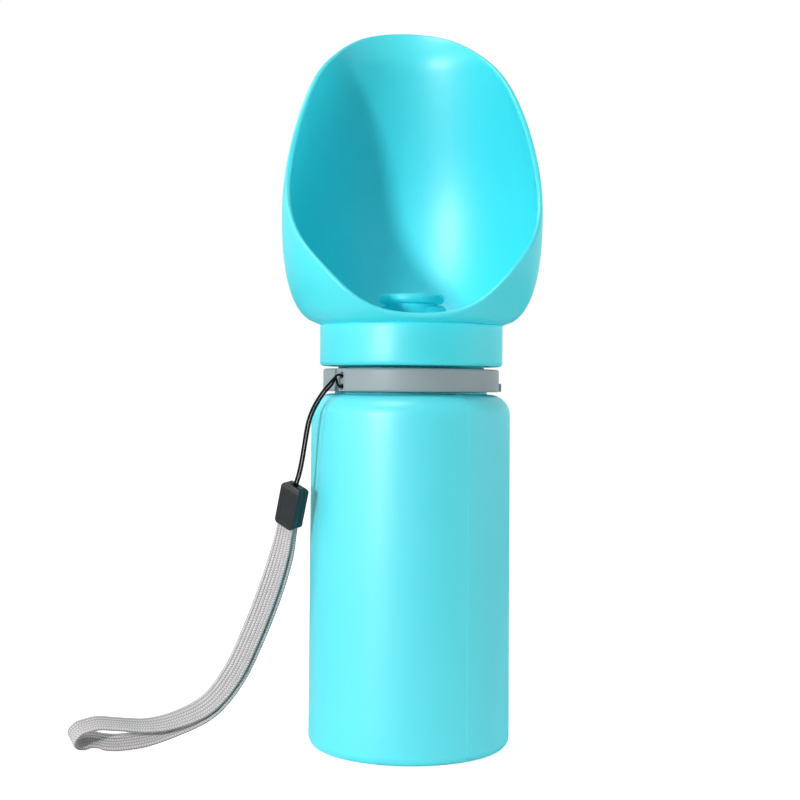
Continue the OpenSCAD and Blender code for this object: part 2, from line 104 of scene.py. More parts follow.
# The cord: its middle line from the clip up to the ring, and round the ring's bar, which is
# given as (outwards, sideways, up) from the anchor
CORD_ROUTE = [(-40.6, -15.9, 92.6), (-39.4, -16.4, 96.6), (-38.4, -16.5, 101.6),
              (-37.4, -17.1, 108), (-36.4, -17.7, 113.8), (-35, -18.2, 118),
              (-33.2, -18.5, 121.5), (-31, -18.5, 124.8), (-28.6, -18.1, 127.6)]
CORD_LOOP = [(31.9, 0.1, 1.9), (30.4, 0, 2), (29.1, 0, 1.5), (28.6, 0, 0), (29.1, 0, -1.5),
             (30.4, 0, -2), (31.2, -0.5, -1.2), (31.4, -0.9, 0.2), (32.1, -0.8, 1.2)]
ANCHOR_ANGLE = 213
ANCHOR_Z = 128.3
CORD_SIDES = 10
STRAND_ROOM = 0.06

# The strap: each row is a point on the near run, the direction across the webbing there, half
# the way to the far run, and how far the far run is shifted across
STRAP_ROUTE = [
    (-42.5, -13.5, 85.2, 0.69, -0.61, -0.38, 0.85, 0),
    (-43.8, -10.6, 78.3, 0.69, -0.61, -0.38, 0.85, 0),
    (-46.2, -8.3, 67.5, 0.83, -0.44, -0.35, 0.85, 0.9),
    (-50.2, -6.8, 54.5, 0.91, -0.28, -0.34, 0.85, 1.2),
    (-55.5, -6.1, 40.5, 0.87, -0.27, -0.42, 0.85, 1.2),
    (-62, -6, 26.5, 0.77, -0.27, -0.58, 0.85, 1.2),
    (-70.4, -6.5, 16, 0.48, -0.45, -0.75, 0.9, 1.2),
    (-81, -7.7, 10.8, 0.2, -0.66, -0.73, 1.25, 1.1),
    (-91, -8.8, 9, 0.1, -0.79, -0.6, 2.6, 1),
    (-100.5, -9.4, 9.6, 0.1, -0.81, -0.58, 4.1, 0.8),
    (-107.8, -9.6, 10.1, 0.22, -0.76, -0.61, 4.5, 0.6),
    (-113.3, -10, 8.9, 0.46, -0.67, -0.59, 3.7, 0.4)]
ROUTE_STEPS = 8
FOLD_REACH = 4.4
FOLD_STEPS = 24
NEAR_TILT = 13
TILT_START, TILT_OVER = 0.5, 0.3
RIBS, RIB_POINTS = 6, 5
RIB_VALLEY = 0.17
WEBBING_EDGE = 0.35

# The clip's shells
CLIP_EDGE = 0.35
PANEL_MARGIN, PANEL_DEPTH = 1.3, 0.14

# The camera, solved from the outline in the photograph, with its turns in degrees
PICTURE_PX = 800
FOCAL_PX = 1451
SENSOR = 36
CAMERA_DISTANCE = 515
CAMERA_Z = 126
CAMERA_AZIMUTH = -4.5
AIM_LEFT, AIM_DOWN, CAMERA_ROLL = 0.43, 0.47, 0.41


# ---------------------------------------------------------------- small helpers

def linear(text):
    """A linear colour from an sRGB hex value."""
    parts = [int(text[i:i + 2], 16) / 255 for i in (1, 3, 5)]
    return [c / 12.92 if c <= 0.04045 else ((c + 0.055) / 1.055) ** 2.4 for c in parts] + [1]


def clear_selection():
    if bpy.context.object and bpy.context.object.mode != "OBJECT":
        bpy.ops.object.mode_set(mode="OBJECT")
    bpy.ops.object.select_all(action="DESELECT")


def pick(piece):
    clear_selection()
    piece.select_set(True)
    bpy.context.view_layer.objects.active = piece


def arc(x, z, r, a0, a1, n):
    """Points on an arc in millimetres, from angle a0 to a1 in degrees."""
    steps = [math.radians(a0 + (a1 - a0) * i / n) for i in range(n + 1)]
    return [(x + r * math.cos(a), z + r * math.sin(a)) for a in steps]


def bezier(points, n):
    """Points on a chain of cubic curves, n steps for each."""
    out = [points[0]]
    for i in range(0, len(points) - 3, 3):
        a, b, c, d = points[i:i + 4]
        for k in range(1, n + 1):
            t = k / n
            out.append(tuple((1 - t) ** 3 * a[m] + 3 * t * (1 - t) ** 2 * b[m]
                             + 3 * t * t * (1 - t) * c[m] + t ** 3 * d[m] for m in range(2)))
    return out


def spline(points, n):
    """A smooth line through points of any number of values, with n steps between two."""
    out = []
    first = [2 * a - b for a, b in zip(points[0], points[1])]
    last = [2 * a - b for a, b in zip(points[-1], points[-2])]
    rows = [first, *points, last]
    for i in range(1, len(rows) - 2):
        for k in range(n):
            t = k / n
            out.append([(2 * b + (c - a) * t + (2 * a - 5 * b + 4 * c - d) * t * t
                         + (3 * b - a - 3 * c + d) * t ** 3) / 2
                        for a, b, c, d in zip(rows[i - 1], rows[i], rows[i + 1], rows[i + 2])])
    out.append(list(points[-1]))
    return out


def across_at(line, height):
    """How far out a line of (across, height) is at a height."""
    for (x0, z0), (x1, z1) in zip(line, line[1:]):
        if z0 <= height <= z1:
            return x0 + (x1 - x0) * (height - z0) / max(z1 - z0, TINY)
    return line[-1][0]


def tangent(line, i):
    return (line[min(i + 1, len(line) - 1)] - line[max(i - 1, 0)]).normalized()


def lengths_along(line):
    """How far along a line each of its points lies."""
    lengths = [0.0]
    for start, end in zip(line, line[1:]):
        lengths.append(lengths[-1] + (end - start).length)
    return lengths


# ---------------------------------------------------------------- modelling

def soften(piece, width, segments, angle):
    """Rounds the edges of a piece, as a mould does."""
    pick(piece)
    bevel = piece.modifiers.new("Edges", "BEVEL")
    bevel.width = width * MM
    bevel.segments = segments
    bevel.limit_method = "ANGLE"
    bevel.angle_limit = math.radians(angle)
    bpy.ops.object.modifier_apply(modifier=bevel.name)


def smooth(piece, angle):
    pick(piece)
    bpy.ops.object.shade_smooth_by_angle(angle=math.radians(angle))


def place(piece, name, body, nodes, material):
    """Names a finished piece, gives it its finish and lets it ride on its body."""
    pick(piece)
    bpy.ops.object.transform_apply(location=True, rotation=True, scale=True)
    piece.name = piece.data.name = name
    piece.data.materials.clear()
    piece.data.materials.append(material)
    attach(piece, body)
    if nodes:
        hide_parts(*nodes)
    return piece


def turned(outline, turns):
    """A body of revolution about the bottle's axis. The outline is in millimetres, as
    (radius, height), and turns are the angles and steps of the spins."""
    clear_selection()
    x, z = outline[0]
    bpy.ops.mesh.primitive_plane_add(size=MM, location=(x * MM, 0, z * MM))
    bpy.ops.object.mode_set(mode="EDIT")
    bpy.ops.mesh.merge(type="CENTER")
    for (x0, z0), (x1, z1) in zip(outline, outline[1:]):
        step = ((x1 - x0) * MM, 0, (z1 - z0) * MM)
        bpy.ops.mesh.extrude_region_move(TRANSFORM_OT_translate={"value": step})
    bpy.ops.mesh.select_all(action="SELECT")
    for angle, steps in turns:
        bpy.ops.mesh.spin(steps=steps, angle=math.radians(angle), center=(0, 0, 0),
                          axis=(0, 0, 1))
    bpy.ops.mesh.select_all(action="SELECT")
    bpy.ops.mesh.remove_doubles(threshold=0.004 * MM)
    bpy.ops.mesh.normals_make_consistent(inside=False)
    bpy.ops.object.mode_set(mode="OBJECT")
    return bpy.context.object


def copy_of(node):
    """A copy of a CAD node with its triangles merged into clean faces."""
    clear_selection()
    piece = bpy.data.objects.new(node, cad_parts[node].data.copy())
    bpy.context.scene.collection.objects.link(piece)
    pick(piece)
    bpy.ops.object.mode_set(mode="EDIT")
    bpy.ops.mesh.select_all(action="SELECT")
    bpy.ops.mesh.customdata_custom_splitnormals_clear()
    bpy.ops.mesh.remove_doubles(threshold=0.002 * MM)
    bpy.ops.mesh.dissolve_limited(angle_limit=math.radians(0.5))
    bpy.ops.object.mode_set(mode="OBJECT")
    return piece


def skin(name, rings, closed_along=False, lengths=None, widths=None):
    """A skin of quads over closed rings of points in metres, with a UV map in millimetres
    where lengths along and widths around are given."""
    mesh = bpy.data.meshes.new(name)
    shape = bmesh.new()
    rows = [[shape.verts.new(p) for p in ring] for ring in rings]
    count = len(rings[0])
    uv = shape.loops.layers.uv.new("Along") if lengths else None
    last = len(rows) if closed_along else len(rows) - 1
    for i in range(last):
        k = (i + 1) % len(rows)
        for j in range(count):
            m = (j + 1) % count
            face = shape.faces.new((rows[i][j], rows[i][m], rows[k][m], rows[k][j]))
            face.smooth = True
            if uv:
                around = [widths[j], widths[j + 1], widths[j + 1], widths[j]]
                along = [lengths[i], lengths[i], lengths[k], lengths[k]]
                for loop, u, v in zip(face.loops, around, along):
                    loop[uv].uv = (u, v)
    if not closed_along:
        for row in (rows[0], rows[-1]):
            shape.faces.new(row)
    bmesh.ops.recalc_face_normals(shape, faces=shape.faces)
    shape.to_mesh(mesh)
    shape.free()
    piece = bpy.data.objects.new(name, mesh)
    bpy.context.scene.collection.objects.link(piece)
    return piece


def sink_panel(piece, margin, depth):
    """Sinks a shallow panel into the largest face of a shell."""
    pick(piece)
    bpy.ops.object.mode_set(mode="EDIT")
    bpy.ops.mesh.select_all(action="DESELECT")
    shape = bmesh.from_edit_mesh(piece.data)
    max(shape.faces, key=lambda face: face.calc_area()).select_set(True)
    bmesh.update_edit_mesh(piece.data)
    bpy.ops.mesh.inset(thickness=margin * MM, depth=0)
    bpy.ops.mesh.inset(thickness=depth * MM, depth=-depth * MM)
    bpy.ops.object.mode_set(mode="OBJECT")


def raise_mould_lines(piece, height):
    """Cuts three edges along each parting line with bisect, and lifts the middle one where it
    is on the outside."""
    pick(piece)
    bpy.ops.object.mode_set(mode="EDIT")
    for angle in MOULD_LINE_ANGLES:
        a = math.radians(angle)
        side, out = Vector((-math.sin(a), math.cos(a), 0)), Vector((math.cos(a), math.sin(a), 0))
        for offset in (-MOULD_LINE_WIDTH / 2, 0, MOULD_LINE_WIDTH / 2):
            bpy.ops.mesh.select_all(action="DESELECT")
            shape = bmesh.from_edit_mesh(piece.data)
            for face in shape.faces:
                middle = face.calc_center_median()
                if middle.dot(out) > CUT_FROM * MM and abs(middle.dot(side)) < CUT_REACH * MM:
                    face.select_set(True)
            bmesh.update_edit_mesh(piece.data)
            bpy.ops.mesh.bisect(plane_co=side * offset * MM, plane_no=side)
        bpy.ops.mesh.select_all(action="DESELECT")
        shape = bmesh.from_edit_mesh(piece.data)
        for vert in shape.verts:
            radius = math.hypot(vert.co.x, vert.co.y)
            outside = any(vert.co.z > z * MM and radius > r * MM for z, r in OUTSIDE)
            on_line = (vert.co.dot(out) > LIFT_FROM * MM
                       and abs(vert.co.dot(side)) < LINE_SLACK * MM)
            if outside and on_line:
                vert.co += vert.normal * height
        bmesh.update_edit_mesh(piece.data)
    bpy.ops.object.mode_set(mode="OBJECT")


# ---------------------------------------------------------------- materials

MATH = "ShaderNodeMath"


def feed(tree, socket, value):
    """Sets a socket to a value, or links it to a socket or to a node's first output."""
    if isinstance(value, bpy.types.Node):
        value = value.outputs[0]
    if isinstance(value, bpy.types.NodeSocket):
        tree.links.new(value, socket)
    else:
        socket.default_value = value


def add_node(tree, kind, *inputs, **settings):
    """Adds a node to a material or to the world. The inputs go to its sockets in order, where
    None leaves one as it is. A setting is the node's own, or goes to the socket of that name,
    and stops are the places and colours of a ramp."""
    node = tree.nodes.new(kind)
    for key, value in settings.items():
        if key == "stops":
            for stop, (position, colour) in zip(node.color_ramp.elements, value):
                stop.position, stop.color = position, linear(colour)
        elif hasattr(node, key):
            setattr(node, key, value)
        else:
            feed(tree, node.inputs[key], value)
    for socket, value in zip(node.inputs, inputs):
        if value is not None:
            feed(tree, socket, value)
    return node


class Finish:
    """A procedural material: its principled shader, and the nodes that are added to it."""

    def __init__(self, name, **sockets):
        self.material = bpy.data.materials.new(name)
        self.material.use_nodes = True
        self.tree = self.material.node_tree
        self.shader = self.tree.nodes["Principled BSDF"]
        self.set(**sockets)

    def set(self, **sockets):
        for key, value in sockets.items():
            feed(self.tree, self.shader.inputs[key.replace("_", " ")], value)

    def add(self, kind, *inputs, **settings):
        return add_node(self.tree, kind, *inputs, **settings)


def moulded(name, colour, darker, roughness, grain_mm, bump, **sockets):
    """A moulded plastic or rubber. The grain of its mould is drawn as coarse as it needs to
    show, and its colour drifts slightly over 45 mm, as its thickness does."""
    finish = Finish(name, Roughness=roughness, **sockets)
    where = finish.add("ShaderNodeTexCoord").outputs["Object"]
    grain = finish.add("ShaderNodeTexNoise", where, Scale=1 / (grain_mm * MM), Detail=2.0)
    cloud = finish.add("ShaderNodeTexNoise", where, Scale=1 / (45 * MM), Detail=3.0)
    finish.set(
        Base_Color=finish.add("ShaderNodeValToRGB", cloud, stops=((0.3, darker), (0.7, colour))),
        Normal=finish.add("ShaderNodeBump", Strength=bump, Distance=0.05 * MM, Height=grain))
    return finish.material


def silicone(name, colour, darker):
    # Liquid silicone rubber, moulded: matt, and a little translucent at thin edges
    return moulded(name, colour, darker, 0.44, 0.9, 0.06, IOR=1.5,
                   Subsurface_Weight=0.08, Subsurface_Radius=(0.001, 0.003, 0.003),
                   Subsurface_Scale=0.5, Specular_IOR_Level=0.95)


def cord_finish():
    # Braided nylon cord: black and matt, with slanting strands 0.6 mm apart
    name = "Braided nylon cord"
    if name in bpy.data.materials:
        return bpy.data.materials[name]
    finish = Finish(name, Roughness=0.7, IOR=1.4, Specular_IOR_Level=0.25)
    part = finish.add("ShaderNodeSeparateXYZ", finish.add("ShaderNodeUVMap", uv_map="Along"))
    along = finish.add(MATH, part.outputs[1], 0.6, operation="DIVIDE")
    around = finish.add(MATH, part.outputs[0], 2, operation="MULTIPLY")
    slant = finish.add(MATH, along, around, operation="ADD")
    turn = finish.add(MATH, slant, math.pi, operation="MULTIPLY")
    strand = finish.add(MATH, finish.add(MATH, turn, operation="SINE"), operation="ABSOLUTE")
    # The ramp darkens the black where the strands meet: painted shade in the grooves between
    # strands
    finish.set(
        Base_Color=finish.add("ShaderNodeValToRGB", strand, stops=((0, "#020202"),
                                                                   (1, "#0C0D0E"))),
        Normal=finish.add("ShaderNodeBump", Strength=0.6, Distance=0.1 * MM, Height=strand))
    return finish.material


def webbing_finish():
    # Flat polyester braid: matt, with six ribs of slanting yarns that lean the other way from
    # rib to rib, about 0.9 mm apart along the webbing
    finish = Finish("Braided polyester webbing", Roughness=0.7, IOR=1.5, Sheen_Weight=0.2,
                    Sheen_Roughness=0.4)
    part = finish.add("ShaderNodeSeparateXYZ", finish.add("ShaderNodeUVMap", uv_map="Along"))
    inside = finish.add(MATH, part.outputs[0], operation="FRACT")
    which = finish.add(MATH, part.outputs[0], operation="FLOOR")
    odd = finish.add(MATH, which, 2, operation="MODULO")
    lean = finish.add(MATH, finish.add(MATH, odd, 2, operation="MULTIPLY"), 1,
                      operation="SUBTRACT")
    slant = finish.add(MATH, lean, finish.add(MATH, inside, 0.6, operation="MULTIPLY"),
                       operation="MULTIPLY")
    along = finish.add(MATH, part.outputs[1], 0.9, operation="DIVIDE")
    turn = finish.add(MATH, finish.add(MATH, along, slant, operation="ADD"), math.pi,
                      operation="MULTIPLY")
    yarn = finish.add(MATH, finish.add(MATH, turn, operation="SINE"), operation="ABSOLUTE")
    rib = finish.add(MATH, finish.add(MATH, inside, math.pi, operation="MULTIPLY"),
                     operation="SINE")
    rib = finish.add(MATH, rib, 0.0001, operation="MAXIMUM")
    height = finish.add(MATH, finish.add(MATH, yarn, 0.6, operation="POWER"),
                        finish.add(MATH, rib, 0.5, operation="POWER"), operation="MULTIPLY")
    # The ramp paints the low parts grey: painted shade in the grooves between the yarns and
    # between the ribs, over the yarn's own pale colour
    finish.set(
        Base_Color=finish.add("ShaderNodeValToRGB", height,
                              stops=((0.15, "#8E8A8C"), (0.75, strap_sizes().yarn))),
        Normal=finish.add("ShaderNodeBump", Strength=0.7, Distance=0.18 * MM, Height=height))
    return finish.material


# ---------------------------------------------------------------- sizes and colours

class BottleSizes(bpy.types.PropertyGroup):
    silicone: bpy.props.StringProperty(
        name="Silicone colour", description="Colour of the soft scoop",
        default="#45E9F5")
    silicone_deep: bpy.props.StringProperty(
        name="Silicone, deeper", description="Colour where the silicone is a little denser",
        default="#40E6F2")
    bottle: bpy.props.StringProperty(
        name="Bottle colour", description="Colour of the soft bottle", default="#5AE7F3")
    bottle_deep: bpy.props.StringProperty(
        name="Bottle, deeper", description="Colour where the bottle's wall is a little thicker",
        default="#55E5F1")
    ring: bpy.props.StringProperty(
        name="Ring colour", description="Colour of the lanyard ring", default="#98A6AA")
    mould_line: bpy.props.FloatProperty(
        name="Mould line", description="Height of the three mould lines on the bottle",
        default=0.00011, min=0, max=0.0004, unit="LENGTH", precision=5)
    sides: bpy.props.IntProperty(
        name="Sides", description="Steps round each third of the bottle", default=46,
        min=16, max=96)


class StrapSizes(bpy.types.PropertyGroup):
    width: bpy.props.FloatProperty(
        name="Webbing width", description="Width of the flat webbing", default=0.0076,
        min=0.006, max=0.0078, unit="LENGTH", precision=4)
    thickness: bpy.props.FloatProperty(
        name="Webbing thickness", description="Thickness of the webbing", default=0.0014,
        min=0.001, max=0.0015, unit="LENGTH", precision=4)
    cord: bpy.props.FloatProperty(
        name="Cord diameter", description="Diameter of one strand of the cord",
        default=0.00085, min=0.0007, max=0.001, unit="LENGTH", precision=5)
    yarn: bpy.props.StringProperty(
        name="Yarn colour", description="Colour of the webbing's yarn", default="#D8D3D3")


class LightSizes(bpy.types.PropertyGroup):
    key: bpy.props.FloatProperty(
        name="High key", description="Power of the high lamp", default=2.7, min=0,
        unit="POWER")
    low_key: bpy.props.FloatProperty(
        name="Low key", description="Power of the main lamp, near the lens's height",
        default=4.9, min=0, unit="POWER")
    left: bpy.props.FloatProperty(
        name="Left card", description="Power of the large soft card on the left", default=0.5,
        min=0, unit="POWER")
    right: bpy.props.FloatProperty(
        name="Right card", description="Power of the large soft card on the right", default=2.4,
        min=0, unit="POWER")
    fill: bpy.props.FloatProperty(
        name="Room light", description="Strength of the pale room behind", default=0.45, min=0)
    front: bpy.props.FloatProperty(
        name="Front light", description="Strength of the room on the lens side", default=0.06,
        min=0)
    floor_far: bpy.props.FloatProperty(
        name="Far floor", description="How pale the floor is away from the bottle",
        default=0.35, min=0, max=1)
    floor_glow: bpy.props.FloatProperty(
        name="Floor glow", description="How much whiter the floor near the bottle looks than it "
        "is lit", default=0.72, min=0)


def sizes():
    return bpy.context.scene.bottle_sizes


def strap_sizes():
    return bpy.context.scene.strap_sizes


# ---------------------------------------------------------------- pieces

class BOTTLE_OT_cord(bpy.types.Operator):
    """The thin cord, one strand folded double, from the clip round the ring's bar"""
    bl_idname = "bottle.cord"
    bl_label = "Lanyard cord"

    def execute(self, context):
        width = strap_sizes().cord
        line = cord_line(width)
        across = (Vector((0, 1, 0)) - tangent(line, 0) * tangent(line, 0)[1]).normalized()
        rings = []
        for i, p in enumerate(line):
            along = tangent(line, i)
            across = (across - along * across.dot(along)).normalized()
            other = along.cross(across)
            rings.append([p + (math.cos(TAU * k / CORD_SIDES) * across
                               + math.sin(TAU * k / CORD_SIDES) * other) * width / 2
                          for k in range(CORD_SIDES)])
        lengths = lengths_along(line)
        piece = skin("lanyard_cord_braid", rings, False, [far / MM for far in lengths],
                     [k / CORD_SIDES for k in range(CORD_SIDES + 1)])
        place(piece, "lanyard_cord_braid", "lanyard", ["lanyard_cord"],
              cord_finish())
        return {"FINISHED"}


def cord_line(width):
    """The strand's middle line in metres: up beside itself, round the ring's bar and down."""
    route = [Vector(p) * MM for p in CORD_ROUTE]
    side = [tangent(route, i).cross(Vector((0.08, 1, 0))).normalized()
            for i in range(len(route))]
    gap = (width + STRAND_ROOM * MM) / 2
    turn = math.radians(ANCHOR_ANGLE)
    loop = [Vector((r * math.cos(turn) - t * math.sin(turn),
                    r * math.sin(turn) + t * math.cos(turn), z + ANCHOR_Z)) * MM
            for r, t, z in CORD_LOOP]
    up = [p + gap * s for p, s in zip(route, side)]
    down = [p - gap * s for p, s in zip(route, side)]
    return [Vector(p) for p in spline(up + loop + down[::-1], ROUTE_STEPS)]


class BOTTLE_OT_strap(bpy.types.Operator):
    """The wrist strap's webbing, in two runs that meet at the fold"""
    bl_idname = "bottle.strap"
    bl_label = "Wrist strap"

    def execute(self, context):
        width, thick = strap_sizes().width / MM, strap_sizes().thickness / MM
        outline = ribbed_outline(width, thick)
        widths = [u for _, _, u in outline]
        webbing = webbing_finish()
        near, far, fold = strap_runs()
        half = FOLD_STEPS // 2
        for name, run in (("strap_near_run", near + fold[:half]),
                          ("strap_far_run", far + fold[:half - 2:-1])):
            rings = [[(c + x * a + y * n) * MM for x, y, _ in outline] for c, a, n in run]
            lengths = lengths_along([c for c, _, _ in run])
            piece = skin(name, rings, False, lengths, widths + [widths[0]])
            place(piece, name, "lanyard", ["wrist_strap"], webbing)
        return {"FINISHED"}


def strap_runs():
    """The near run, the far run and the fold, as rows of a point in millimetres, the direction
    across the webbing and the direction out of its face."""
    rows = spline(STRAP_ROUTE, ROUTE_STEPS)
    points = [Vector(r[:3]) for r in rows]
    across = [Vector(r[3:6]).normalized() for r in rows]
    out = [a.cross(tangent(points, i)).normalized() for i, a in enumerate(across)]
    end = len(rows) - 1
    gap, shift = rows[end][6], rows[end][7]
    ahead = out[end].cross(across[end])
    # The near run leans over towards the fold, so that the loop opens to the front
    tilts = [math.radians(NEAR_TILT) * min(max((i / end - TILT_START) / TILT_OVER, 0), 1)
             for i in range(end + 1)]
    near = [(p, math.cos(t) * a - math.sin(t) * n, -math.cos(t) * n - math.sin(t) * a)
            for p, a, n, t in zip(points, across, out, tilts)]
    far = [(p + 2 * r[6] * n + r[7] * a, a, n)
           for p, r, a, n in zip(points, rows, across, out)]
    fold = []
    for i in range(1, FOLD_STEPS):
        b = math.pi * i / FOLD_STEPS
        centre = (points[end] + gap * (1 - math.cos(b)) * out[end]
                  + FOLD_REACH * math.sin(b) * ahead
                  + shift * (1 - math.cos(b)) / 2 * across[end])
        tilt = tilts[end] * (1 + math.cos(b)) / 2
        over = math.cos(tilt) * across[end] - math.sin(tilt) * out[end]
        turn = -gap * math.cos(b) * out[end] / FOLD_REACH + math.sin(b) * ahead
        fold.append((centre, over, (turn - over * turn.dot(over)).normalized()))
    return near, far, fold


def ribbed_outline(width, thick):
    """Section of the webbing: six braid ribs on each face and a round edge. Each point is
    (across, through, across again for the pattern)."""
    half, count = width / 2, RIBS * RIB_POINTS
    top = []
    for i in range(count + 1):
        x = -half + WEBBING_EDGE + (width - 2 * WEBBING_EDGE) * i / count
        valley = abs(math.cos(math.pi * i / RIB_POINTS))
        top.append((x, thick / 2 - RIB_VALLEY * valley ** 3, (x + half) / width * RIBS))
    edge = [(half - 0.08, 0.3, RIBS - 0.05), (half, 0, RIBS), (half - 0.08, -0.3, RIBS - 0.05)]
    bottom = [(x, -y, u) for x, y, u in reversed(top)]
    back = [(-x, -y, RIBS - u) for x, y, u in edge]
    return top + edge + bottom + back


class BOTTLE_OT_clip(bpy.types.Operator):
    """The two shells of the black clip"""
    bl_idname = "bottle.clip"
    bl_label = "Clip"

    def execute(self, context):
        # Moulded polypropylene: black and slightly waxy, with a fine grain
        black = moulded("Moulded polypropylene, black", "#212528", "#1C2022", 0.36, 0.35, 0.12,
                        IOR=1.46)
        for node in ("clip_front", "clip_back"):
            piece = copy_of(node)
            soften(piece, CLIP_EDGE, 4, 35)
            sink_panel(piece, PANEL_MARGIN, PANEL_DEPTH)
            smooth(piece, 35)
            place(piece, node + "_shell", "lanyard", [node], black)
        return {"FINISHED"}


class BOTTLE_OT_body(bpy.types.Operator):
    """The soft bottle with its foot, shoulder, neck and three mould lines"""
    bl_idname = "bottle.body"
    bl_label = "Bottle"

    def execute(self, context):
        piece = turned(bottle_outline(), [(60, sizes().sides // 2)] * 6)
        raise_mould_lines(piece, sizes().mould_line)
        smooth(piece, 38)
        place(piece, "bottle_silicone", "bottle", ["bottle_body"],
              silicone("Moulded silicone, bottle", sizes().bottle, sizes().bottle_deep))
        return {"FINISHED"}


def bottle_outline():
    """Half of the bottle's section, from the middle of the foot up the outside, over the neck
    and down the inside."""
    narrowing, rise = FOOT_R - BODY_TOP_R, BODY_TOP_Z - FOOT_EDGE
    shoulder_r = BODY_TOP_R - SHOULDER_EDGE
    inner_r, inner_z = FOOT_R - BOTTLE_WALL, 2 * BOTTLE_WALL
    foot = ([(0, 0), (12, 0), (20.6, 0)] + arc(*GROOVE, 150, 30, 8)[1:-1]
            + [(27.4, 0), (29.6, 0)] + arc(FOOT_R - FOOT_EDGE, FOOT_EDGE, FOOT_EDGE, -90, 0, 8))
    side = [(FOOT_R - narrowing * k / SIDE_LEVELS, FOOT_EDGE + rise * k / SIDE_LEVELS)
            for k in range(1, SIDE_LEVELS)]
    shoulder = arc(shoulder_r, BODY_TOP_Z, SHOULDER_EDGE, 0, 90, 14)
    inside = (arc(shoulder_r, BODY_TOP_Z, SHOULDER_EDGE - BOTTLE_WALL, 90, 0, 8)
              + [(inner_r, inner_z)]
              + arc(inner_r - BOTTLE_WALL, inner_z, BOTTLE_WALL, 0, -90, 5)
              + [(20, BOTTLE_WALL), (0, BOTTLE_WALL)])
    return foot + side + shoulder + NECK + inside


class BOTTLE_OT_scoop(bpy.types.Operator):
    """The drinking scoop: collar, floor, cup with a rounded lip, and the rib at the valve"""
    bl_idname = "bottle.scoop"
    bl_label = "Drinking scoop"

    def execute(self, context):
        side = bezier(SCOOP_SIDE, SIDE_STEPS)
        rim = bezier(RIM_SIDE, RIM_STEPS)
        middle = []
        for i, (r, z) in enumerate(side):
            (r0, z0), (r1, z1) = side[max(i - 1, 0)], side[min(i + 1, len(side) - 1)]
            size = math.hypot(r1 - r0, z1 - z0)
            nr, nz = (z1 - z0) / size, -(r1 - r0) / size
            middle.append((r - LIP_R * nr, z - LIP_R * nz, nr, nz))
        spine = [m[:2] for m in middle]
        rings = []
        for j in range(SCOOP_COLUMNS):
            angle = TAU * j / SCOOP_COLUMNS
            top = rim_height(spine, rim, angle)
            rings.append([(r * math.cos(angle) * MM, r * math.sin(angle) * MM, z * MM)
                          for r, z in scoop_section(middle, top)])
        cup = skin("drinking_scoop", rings, True)
        smooth(cup, 55)
        rubber = silicone("Moulded silicone, scoop", sizes().silicone, sizes().silicone_deep)
        place(cup, "scoop_silicone", "cap", ["drinking_scoop"], rubber)
        rib = valve_rib()
        place(rib, "valve_rib", "cap", [], rubber)
        return {"FINISHED"}


def rim_height(spine, rim, angle):
    """Height at which the middle of the wall meets the rim's curve, at an angle."""
    low, high = rim[0][1], rim[-1][1]
    for _ in range(HALVINGS):
        z = (low + high) / 2
        if across_at(spine, z) * math.sin(angle) >= across_at(rim, z):
            low = z
        else:
            high = z
    return low


def wall_at(middle, z):
    """The middle of the scoop's wall at a height, and the direction out of it there."""
    for below, above in zip(middle, middle[1:]):
        if below[1] <= z <= above[1] or above is middle[-1]:
            f = min(max((z - below[1]) / max(above[1] - below[1], TINY), 0), 1)
            r, _, a, b = [u + (v - u) * f for u, v in zip(below, above)]
            return r, z, a, b


def scoop_section(middle, top):
    """One section of the scoop, as (radius, height) from the collar's lower edge up the
    outside, over the lip, down the inside, across the floor and back under the cap."""
    low = middle[0][1]
    wall = [wall_at(middle, low + (top - low) * k / SCOOP_LEVELS)
            for k in range(SCOOP_LEVELS + 1)]
    outside = [(r + LIP_R * a, z + LIP_R * b) for r, z, a, b in wall]
    inside = [(r - LIP_R * a, z - LIP_R * b) for r, z, a, b in reversed(wall)]
    r, z, a, b = wall[-1]
    lip = [(r + LIP_R * (math.cos(t) * a - math.sin(t) * b),
            z + LIP_R * (math.cos(t) * b + math.sin(t) * a))
           for t in [math.pi * k / LIP_STEPS for k in range(1, LIP_STEPS)]]
    collar = (arc(COLLAR_R - COLLAR_EDGE, COLLAR_Z + COLLAR_EDGE, COLLAR_EDGE, -90, 0, 7)
              + [(COLLAR_R, z) for z in (138, 142, 146, 147.7)]
              + [(32.15, 147.95), (31.9, 148.15)])
    foot_r = inside[-1][0]
    floor = [(foot_r - 0.9, 149.9), (foot_r - 2.2, 149.7), (foot_r - 4.5, FLOOR_Z),
             (22, FLOOR_Z), (14.5, FLOOR_Z), (10, FLOOR_Z)]
    return collar + outside + lip + inside + floor + SCOOP_UNDERSIDE


def valve_rib():
    """The round-topped rib of the scoop, behind the valve, with its ends closed."""
    top = (RIB_OUT - RIB_IN) / 2
    outline = ([(RIB_IN, RIB_BASE_Z)] + arc(RIB_IN + top, RIB_SIDE_Z, top, 180, 0, 12)
               + [(RIB_OUT, RIB_BASE_Z), (RIB_IN, RIB_BASE_Z)])
    rib = turned(outline, [(360 - 2 * RIB_HALF_GAP, RIB_STEPS)])
    pick(rib)
    bpy.ops.object.mode_set(mode="EDIT")
    bpy.ops.mesh.select_all(action="DESELECT")
    bpy.ops.mesh.select_non_manifold()
    bpy.ops.mesh.edge_face_add()
    bpy.ops.object.mode_set(mode="OBJECT")
    rib.rotation_euler = (0, 0, math.radians(-90 + RIB_HALF_GAP))
    soften(rib, 0.6, 4, 50)
    smooth(rib, 50)
    return rib


